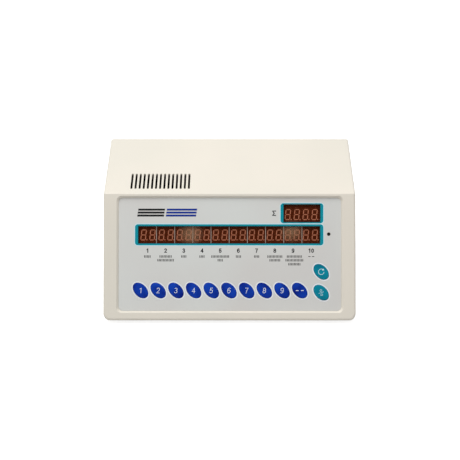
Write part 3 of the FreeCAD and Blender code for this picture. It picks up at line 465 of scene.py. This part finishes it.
def finishes():
    """Return the finish of every node of the part."""
    case = case_plastic()
    tint = window_tint()
    housing = display_housing()
    board = board_laminate()
    black = black_plastic("component_black", level=0.020, roughness=(0.40, 0.50))
    fitting = black_plastic("fitting_black", level=0.016, roughness=(0.32, 0.42))
    rocker = black_plastic("rocker_black", level=0.012, roughness=(0.16, 0.24),
                           depth=fine_grain_depth)
    core = metal("lamination_steel", (0.20, 0.20, 0.21), roughness=(0.40, 0.60),
                 fineness=lamination_fineness)
    steel = metal("screw_steel", (0.56, 0.56, 0.55), roughness=(0.28, 0.42))
    brass = metal("terminal_brass", (0.62, 0.50, 0.28), roughness=(0.20, 0.30))
    # The lighter key tones give patches of painted reflection
    blue = key_plastic("key_blue", ((0.0002, 0.012, 0.215), (0.0060, 0.053, 0.440)))
    teal = key_plastic("key_teal", ((0.0003, 0.168, 0.255), (0.0040, 0.262, 0.370)))
    chosen = {
        "top_cover": case,
        "base_tray": case,
        "rear_panel": panel_paint(),
        "overlay_film": film_print(),
        "main_window": tint,
        "total_window": tint,
        "total_display": housing,
        "display_segments": segment_resin(),
        "panel_board": board,
        "power_board": board,
        "buzzer": black,
        "board_chips": black,
        "power_parts": black,
        "switch_bodies": black,
        "transformer_core": core,
        "transformer_coil": winding_tape(),
        "ribbon_cable": wire_skin("ribbon_skin", (0.32, 0.32, 0.34), spread=0.06),
        "mains_leads": wire_skin("lead_skin", (0.14, 0.05, 0.02), spread=0.08),
        "mains_inlet": fitting,
        "rocker_housing": fitting,
        "power_rocker": rocker,
        "mains_terminals": brass,
        "case_screws": steel,
        "board_screws": steel,
        "panel_screws": steel,
        "rubber_feet": foot_rubber(),
        "reset_key": teal,
        "percent_key": teal,
    }
    for name in nodes:
        if name.endswith("_plunger"):
            chosen[name] = black
        elif name.startswith("key_"):
            chosen[name] = blue
        elif name.startswith("counter_display"):
            chosen[name] = housing
    return chosen


def dress_nodes():
    """Give every node its finish."""
    chosen = finishes()
    for name, node in nodes.items():
        node.data.materials.clear()
        node.data.materials.append(chosen[name])


# Outlines of marks, as lists of points on a plane


def arc(middle_x, middle_y, radius_x, radius_y, start_degrees, end_degrees):
    """Return points along an upright oval from one angle to another."""
    count = math.ceil(abs(end_degrees - start_degrees) / arc_step_degrees)
    points = []
    for step in range(count + 1):
        angle = math.radians(start_degrees + (end_degrees - start_degrees) * step / count)
        points.append((middle_x + radius_x * math.cos(angle),
                       middle_y + radius_y * math.sin(angle)))
    return points


def turned(points, middle, degrees):
    """Return points turned about zero and then moved to a middle."""
    cosine = math.cos(math.radians(degrees))
    sine = math.sin(math.radians(degrees))
    return [(middle[0] + x * cosine - y * sine, middle[1] + x * sine + y * cosine)
            for x, y in points]


def key_oval(middle, grow):
    """Return a key's outline, made larger all round."""
    oval = arc(0.0, 0.0, key_half_length + grow, key_half_width + grow, 0.0, 360.0)
    return turned(oval[:-1], middle, key_turn_degrees)


def rounded_rectangle(low, high, radius):
    """Return a rectangle with round corners."""
    points = arc(high[0] - radius, high[1] - radius, radius, radius, 0.0, 90.0)
    points += arc(low[0] + radius, high[1] - radius, radius, radius, 90.0, 180.0)
    points += arc(low[0] + radius, low[1] + radius, radius, radius, 180.0, 270.0)
    points += arc(high[0] - radius, low[1] + radius, radius, radius, 270.0, 360.0)
    return points


def rectangle(middle, width, height, lean=0.0):
    """Return a rectangle about its middle, its top moved sideways by a lean."""
    x, y = middle
    return [(x - (width + lean) / 2, y - height / 2), (x + (width - lean) / 2, y - height / 2),
            (x + (width + lean) / 2, y + height / 2), (x - (width - lean) / 2, y + height / 2)]


# Each sign's width and its strokes, as shares of its height
sign_shares = {
    "0": (0.54, [arc(0.27, 0.50, 0.27, 0.50, 0.0, 360.0)]),
    "1": (0.28, [[(0.02, 0.78), (0.26, 1.00)], [(0.26, 1.00), (0.26, 0.00)]]),
    "2": (0.54, [arc(0.27, 0.73, 0.26, 0.27, 165.0, -38.0) + [(0.00, 0.00), (0.54, 0.00)]]),
    "3": (0.52, [arc(0.25, 0.76, 0.23, 0.24, 155.0, -90.0),
                 arc(0.25, 0.26, 0.27, 0.26, 90.0, -155.0)]),
    "4": (0.58, [[(0.44, 1.00), (0.44, 0.00)], [(0.44, 1.00), (0.00, 0.29), (0.58, 0.29)]]),
    "5": (0.54, [[(0.50, 1.00), (0.12, 1.00), (0.05, 0.50)],
                 arc(0.26, 0.32, 0.28, 0.32, 140.0, -155.0)]),
    "6": (0.54, [arc(0.32, 0.55, 0.32, 0.45, 55.0, 180.0)
                 + arc(0.27, 0.31, 0.27, 0.31, 180.0, 540.0)]),
    "7": (0.52, [[(0.00, 1.00), (0.52, 1.00), (0.30, 0.55), (0.18, 0.00)]]),
    "8": (0.54, [arc(0.27, 0.76, 0.23, 0.24, 0.0, 360.0),
                 arc(0.27, 0.26, 0.27, 0.26, 0.0, 360.0)]),
    "9": (0.54, [arc(0.22, 0.45, 0.32, 0.45, 235.0, 360.0)
                 + arc(0.27, 0.69, 0.27, 0.31, 0.0, 360.0)]),
    "%": (1.16, [arc(0.19, 0.76, 0.19, 0.22, 0.0, 360.0), arc(0.97, 0.24, 0.19, 0.22, 0.0, 360.0),
                 [(0.34, 0.00), (0.82, 1.00)]]),
    "sum": (0.66, [[(0.66, 1.00), (0.00, 1.00), (0.38, 0.50), (0.00, 0.00), (0.66, 0.00)]]),
}


def stroke_side(before, point, after):
    """Return the sideways step of a line at one of its points, longer where it bends."""
    sides = []
    for start, end in ((before, point), (point, after)):
        if start is not None and end is not None:
            along = Vector((end[0] - start[0], end[1] - start[1])).normalized()
            sides.append(Vector((along.y, -along.x)))
    side = sum(sides, Vector((0.0, 0.0))).normalized()
    return side / max(side.dot(sides[0]), mitre_limit_share)


def lengthened(points, amount):
    """Return a line with both its ends moved outward."""
    ends = []
    for point, inner in ((points[0], points[1]), (points[-1], points[-2])):
        outward = Vector((point[0] - inner[0], point[1] - inner[1])).normalized() * amount
        ends.append((point[0] + outward.x, point[1] + outward.y))
    return [ends[0], *points[1:-1], ends[1]]


class Marks:
    """Thin raised marks on one plane, gathered into one piece."""

    def __init__(self, plane, low, high):
        self.plane = plane
        self.low = low
        self.high = high
        self.spots = []
        self.faces = []

    def add_loop(self, points, level):
        """Add the points of an outline at a level and return where they begin."""
        start = len(self.spots)
        self.spots.extend(self.plane(x, y, level) for x, y in points)
        return start

    def join(self, first, second, count, closed=True):
        """Add the faces between two outlines of as many points."""
        for number in range(count if closed else count - 1):
            after = (number + 1) % count
            self.faces.append([first + number, first + after, second + after, second + number])

    def plate(self, points):
        """Add a flat plate."""
        count = len(points)
        under = self.add_loop(points, self.low)
        over = self.add_loop(points, self.high)
        self.join(under, over, count)
        self.faces.append([over + number for number in range(count)])
        self.faces.append([under + number for number in reversed(range(count))])

    def band(self, outer, inner, closed=True):
        """Add a flat ring or an open strip between two lines of as many points."""
        count = len(outer)
        starts = [self.add_loop(outer, self.low), self.add_loop(outer, self.high),
                  self.add_loop(inner, self.high), self.add_loop(inner, self.low)]
        for number, start in enumerate(starts):
            self.join(start, starts[(number + 1) % len(starts)], count, closed)
        if not closed:
            self.faces.append(starts)
            self.faces.append([start + count - 1 for start in reversed(starts)])

    def stroke(self, points, width):
        """Add a line of one width along points."""
        closed = math.dist(points[0], points[-1]) < width * closing_share
        points = points[:-1] if closed else lengthened(points, width / 2)
        count = len(points)
        right = []
        left = []
        for number, point in enumerate(points):
            before = points[number - 1] if closed or number > 0 else None
            after = points[(number + 1) % count] if closed or number < count - 1 else None
            aside = stroke_side(before, point, after) * (width / 2)
            right.append((point[0] + aside.x, point[1] + aside.y))
            left.append((point[0] - aside.x, point[1] - aside.y))
        self.band(right, left, closed)

    def sign(self, signs, middle, height, width, lean_share=0.0, turn_degrees=0.0):
        """Add a row of numerals or signs about a middle."""
        size = height - width
        gap = sign_gap_share * size + width
        total = sum(sign_shares[sign][0] * size for sign in signs) + gap * (len(signs) - 1)
        left = -total / 2
        for sign in signs:
            share, strokes = sign_shares[sign]
            for points in strokes:
                placed = [(left + x * size + (y - 0.5) * size * lean_share, (y - 0.5) * size)
                          for x, y in points]
                self.stroke(turned(placed, middle, turn_degrees), width)
            left += share * size + gap

    def piece(self, name, material, body, slot):
        """Turn the marks into a piece that rides on a body."""
        mesh = bpy.data.meshes.new(name)
        mesh.from_pydata([tuple(spot) for spot in self.spots], [], self.faces)
        mesh.validate()
        mesh.materials.append(material)
        piece = add_object(name, mesh)
        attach(piece, body)


# Printed marks on the film


def film_marks(step=0):
    """Return an empty set of marks on the film, each step a little higher."""
    top = panel_box("overlay_film")[1][2]
    return Marks(panel_plane, top - ink_sink, top + ink_height + step * ink_step)


def print_key_rims(white):
    """Print a white rim around each key."""
    marks = film_marks()
    near = key_gap + rim_gap
    for name in key_names():
        middle = panel_middle(name)
        marks.band(key_oval(middle, near + rim_width), key_oval(middle, near))
    marks.piece("key_rims", white, "case", "film_grey")


def window_edge(name):
    """Return the low and the high corner of a window's pocket on the panel."""
    low, high = panel_box(name)
    return (low[0] - pocket_gap, low[1] - pocket_gap), (high[0] + pocket_gap, high[1] + pocket_gap)


def window_outline(edge, grow_side, grow_top, corner):
    """Return a window's outline, moved outward at its sides and at its top and bottom."""
    (low_x, low_y), (high_x, high_y) = edge
    return rounded_rectangle((low_x - grow_side, low_y - grow_top),
                             (high_x + grow_side, high_y + grow_top), corner)


def print_border(window, side, top, teal, pale, painted_shade):
    """Print a window's teal border, the pale line around it and a dark line of painted shade inside it."""
    edge = window_edge(window)
    outer = window_outline(edge, 0.0, 0.0, border_corner)
    inner = window_outline(edge, -side, -top, inner_corner)
    border = film_marks(step=1)
    border.band(outer, inner)
    border.piece(f"{window}_border", teal, "case", "key_teal")
    outline = film_marks()
    outline.band(window_outline(edge, outline_width, outline_width,
                                border_corner + outline_width), outer)
    outline.piece(f"{window}_outline", pale, "case", "film_grey")
    # A dark line of painted shade along the border's inner edge
    line = film_marks(step=2)
    line.band(window_outline(edge, painted_shade_width - side, painted_shade_width - top,
                             inner_corner), inner)
    line.piece(f"{window}_painted_shade_line", painted_shade, "case", "key_teal")


def number_places():
    """Return where the numbers stand along the panel."""
    count = sum(name.startswith("counter_display") for name in nodes)
    return [number_shift + (number - (count - 1) / 2) * number_pitch for number in range(count)]


def print_numbers(dark):
    """Print the numbers under the displays."""
    marks = film_marks()
    level = window_edge("main_window")[0][1] - number_drop
    for number, u in enumerate(number_places(), 1):
        marks.sign(str(number), (u, level), number_height, number_stroke)
    marks.piece("display_numbers", dark, "case", "film_grey")


def print_labels(grey):
    """Print rows of short plain marks under the numbers, and two dashes under the last."""
    marks = film_marks()
    level = window_edge("main_window")[0][1]
    middles = number_places()
    for column, (u, rows) in enumerate(zip(middles, label_mark_counts), 1):
        middle = u + ninth_label_shift if column == len(label_mark_counts) else u
        for drop, count in zip(label_drops, rows):
            for number in range(count):
                shift = (number - (count - 1) / 2) * label_pitch
                marks.plate(rectangle((middle + shift, level - drop), label_mark_width, label_height))
    for side in (-1, 1):
        middle = (middles[-1] + side * dash_spread / 2, level - label_drops[0])
        marks.plate(rectangle(middle, dash_length, dash_stroke))
    marks.piece("label_marks", grey, "case", "film_grey")


def print_sum_sign(dark):
    """Print the sum sign beside the total window."""
    (left, low), (_, high) = window_edge("total_window")
    marks = film_marks()
    marks.sign(["sum"], (left - sum_from_window, (low + high) / 2), sum_height, sum_stroke)
    marks.piece("sum_sign", dark, "case", "film_grey")


def print_stripes(dark, blue):
    """Print plain stripes in two colours at the panel's upper left."""
    left = panel_box("overlay_film")[0][0] + stripe_from_film_edge
    level = window_edge("main_window")[1][1] + stripe_above_window
    pitch = stripe_block_height / stripe_count
    split = left + stripe_block_width * dark_stripe_share
    halves = (("dark_stripes", left, split - stripe_gap / 2, dark),
              ("blue_stripes", split + stripe_gap / 2, left + stripe_block_width, blue))
    for name, start, end, material in halves:
        marks = film_marks()
        for number in range(stripe_count):
            rise = (number - (stripe_count - 1) / 2) * pitch
            shift = rise / stripe_block_height * stripe_lean
            marks.plate(rectangle(((start + end) / 2 + shift, level + rise), end - start,
                                  pitch * stripe_fill_share,
                                  stripe_lean * stripe_fill_share / stripe_count))
        marks.piece(name, material, "case", "film_grey")


def lay_module_joints(pale):
    """Lay a pale edge where two display modules meet."""
    low, high = panel_box("counter_display_1")
    marks = Marks(panel_plane, high[2] - joint_height, high[2] + joint_height)
    middles = number_places()
    for left, right in zip(middles, middles[1:]):
        middle = ((left + right) / 2 + joint_shift, (low[1] + high[1]) / 2)
        marks.plate(rectangle(middle, joint_width, high[1] - low[1]))
    marks.piece("module_joints", pale, "case", "display_housing")


# Marks on the keys and the power switch


def key_marks(name):
    """Return an empty set of marks on a key's dome."""
    top = panel_box(name)[1][2]
    return Marks(panel_plane, top - legend_sink, top + legend_height)


def print_key_numbers(white):
    """Print a number on each counting key, and two dashes on the last one."""
    count = len(number_places())
    for number in range(1, count + 1):
        name = f"key_{number}"
        marks = key_marks(name)
        u, v = panel_middle(name)
        if number < count:
            marks.sign(str(number), (u, v), key_number_height, key_number_stroke,
                       key_number_lean_share)
        else:
            for side in (-1, 1):
                marks.plate(rectangle((u + side * key_dash_spread / 2, v), key_dash_length,
                                      key_dash_stroke))
        marks.piece(f"{name}_mark", white, body_of(name), "key_blue")


def print_percent(pale):
    """Print the percent sign, turned along its key."""
    marks = key_marks("percent_key")
    marks.sign("%", panel_middle("percent_key"), percent_height, percent_stroke,
               turn_degrees=key_turn_degrees)
    marks.piece("percent_mark", pale, body_of("percent_key"), "key_teal")


def print_reset(pale):
    """Print a plain circling arrow on the reset key."""
    marks = key_marks("reset_key")
    u, v = panel_middle("reset_key")
    marks.stroke(arc(u, v, arrow_radius, arrow_radius, arrow_start_degrees,
                     arrow_start_degrees + arrow_sweep_degrees), arrow_stroke)
    start = math.radians(arrow_start_degrees)
    across = Vector((math.cos(start), math.sin(start)))
    ahead = Vector((across.y, -across.x))
    neck = Vector((u, v)) + across * arrow_radius
    marks.plate([tuple(neck - across * arrow_head_half), tuple(neck + ahead * arrow_head_length),
                 tuple(neck + across * arrow_head_half)])
    marks.piece("reset_mark", pale, body_of("reset_key"), "key_teal")


def rocker_faces():
    """Return the middle and the outward direction of the rocker's upper and lower face."""
    mesh = nodes["power_rocker"].data
    low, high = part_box("power_rocker")
    middle_z = (low.z + high.z) / 2
    halves = []
    for side in (1, -1):
        outward = [face for face in mesh.polygons if face.normal.y > outward_share
                   and (face.center.z - middle_z) * side > 0]
        normal = max(outward, key=lambda face: face.area).normal.copy()
        flat = [face for face in outward if face.normal.dot(normal) > same_way_share]
        area = sum(face.area for face in flat)
        centre = sum((face.center * face.area for face in flat), Vector()) / area
        halves.append((centre, normal))
    return halves


def rear_plane(centre, outward):
    """Return a plane at the rear that faces outward, with its right as seen from behind."""
    right = Vector((-1.0, 0.0, 0.0))
    up = outward.cross(right)

    def plane(x, y, level):
        return centre + right * x + up * y + outward * level

    return plane


def print_switch_marks(white):
    """Print a bar on the rocker's upper face and a ring on its lower one."""
    half = (switch_mark_height - switch_mark_stroke) / 2
    shapes = (("bar", [(0.0, -half), (0.0, half)]), ("ring", arc(0.0, 0.0, half, half, 0.0, 360.0)))
    for (shape, points), (centre, normal) in zip(shapes, rocker_faces()):
        marks = Marks(rear_plane(centre, normal), -ink_height, ink_height)
        marks.stroke(points, switch_mark_stroke)
        marks.piece(f"switch_{shape}_mark", white, "rocker_body", "rocker_black")


def print_marks():
    """Print every mark of the panel, the keys and the power switch."""
    white = ink("white_ink", (0.86, 0.89, 0.93), spread=0.02)
    pale = ink("pale_ink", (0.62, 0.84, 0.90), spread=0.03)
    dark = ink("dark_ink", (0.006, 0.006, 0.008))
    teal = ink("teal_ink", (0.001, 0.275, 0.350))
    # Dark teal ink for the painted shade inside the window borders
    painted_shade = ink("painted_shade_ink", (0.004, 0.070, 0.090))
    print_key_rims(white)
    print_border("main_window", main_border_side, main_border_top, teal, pale, painted_shade)
    print_border("total_window", total_border_side, total_border_top, teal, pale, painted_shade)
    print_numbers(dark)
    print_labels(ink("label_ink", (0.042, 0.040, 0.039)))
    print_sum_sign(dark)
    print_stripes(dark, ink("blue_ink", (0.010, 0.032, 0.260)))
    lay_module_joints(joint_plastic())
    print_key_numbers(white)
    print_percent(pale)
    print_reset(pale)
    print_switch_marks(white)


# Stage, lights and camera


def seen_directly(tree):
    """Return a value that is one for camera, glossy and transmission rays."""
    rays = tree.nodes.new("ShaderNodeLightPath").outputs
    return largest(tree, rays["Is Camera Ray"], rays["Is Glossy Ray"], rays["Is Transmission Ray"])


def aim(thing, place, target):
    """Put a lamp or a camera at a place and turn it to a target."""
    turn = (target - place).to_track_quat("-Z", "Y").to_matrix().to_4x4()
    thing.matrix_world = Matrix.Translation(place) @ turn


def stage_floor():
    """Lay a white floor that keeps a faint shadow of the object."""
    side = floor_half_side
    mesh = bpy.data.meshes.new("floor")
    mesh.from_pydata([(-side, -side, 0.0), (side, -side, 0.0), (side, side, 0.0),
                      (-side, side, 0.0)], [], [(0, 1, 2, 3)])
    floor = add_object("floor", mesh)
    material, tree, shader = new_material("floor_white")
    shader.inputs["Base Color"].default_value = (floor_tone, floor_tone, floor_tone, 1.0)
    shader.inputs["Roughness"].default_value = floor_roughness
    shader.inputs["Specular IOR Level"].default_value = 0.0
    shader.inputs["Emission Color"].default_value = white_light
    lift = tree.nodes.new("ShaderNodeMath")
    lift.operation = "MULTIPLY"
    lift.inputs[1].default_value = floor_lift
    tree.links.new(seen_directly(tree), lift.inputs[0])
    tree.links.new(lift.outputs["Value"], shader.inputs["Emission Strength"])
    mesh.materials.append(material)


def stage_world():
    """Fill the room with soft light and show it white where it is seen."""
    world = bpy.data.worlds.new("room")
    bpy.context.scene.world = world
    world.use_nodes = True
    tree = world.node_tree
    tree.nodes.clear()
    output = tree.nodes.new("ShaderNodeOutputWorld")
    mix = tree.nodes.new("ShaderNodeMixShader")
    for number, level in ((1, world_level), (2, 1.0)):
        light = tree.nodes.new("ShaderNodeBackground")
        light.inputs["Color"].default_value = white_light
        light.inputs["Strength"].default_value = level
        tree.links.new(light.outputs["Background"], mix.inputs[number])
    tree.links.new(seen_directly(tree), mix.inputs["Fac"])
    tree.links.new(mix.outputs["Shader"], output.inputs["Surface"])


def stage_light():
    """Hang one large soft light above the object, a little to the front and the left."""
    data = bpy.data.lights.new("top_light", "AREA")
    data.size = top_light_side
    data.energy = top_light_watts
    aim(add_object("top_light", data), top_light_place, top_light_aim)


def stage_camera():
    """Place the camera as in the photograph."""
    data = bpy.data.cameras.new("camera")
    data.sensor_width = sensor_mm
    data.lens = focal_px / image_side_px * sensor_mm
    data.clip_start = near_clip
    data.clip_end = far_clip
    camera = add_object("camera", data)
    azimuth = math.radians(camera_azimuth_degrees)
    elevation = math.radians(camera_elevation_degrees)
    back = Vector((math.sin(azimuth) * math.cos(elevation),
                   -math.cos(azimuth) * math.cos(elevation), math.sin(elevation)))
    aim(camera, camera_target + back * camera_distance, camera_target)
    bpy.context.scene.camera = camera


bpy.context.scene.view_settings.view_transform = "Standard"
stage_camera()
stage_world()
stage_floor()
stage_light()
dress_nodes()
print_marks()
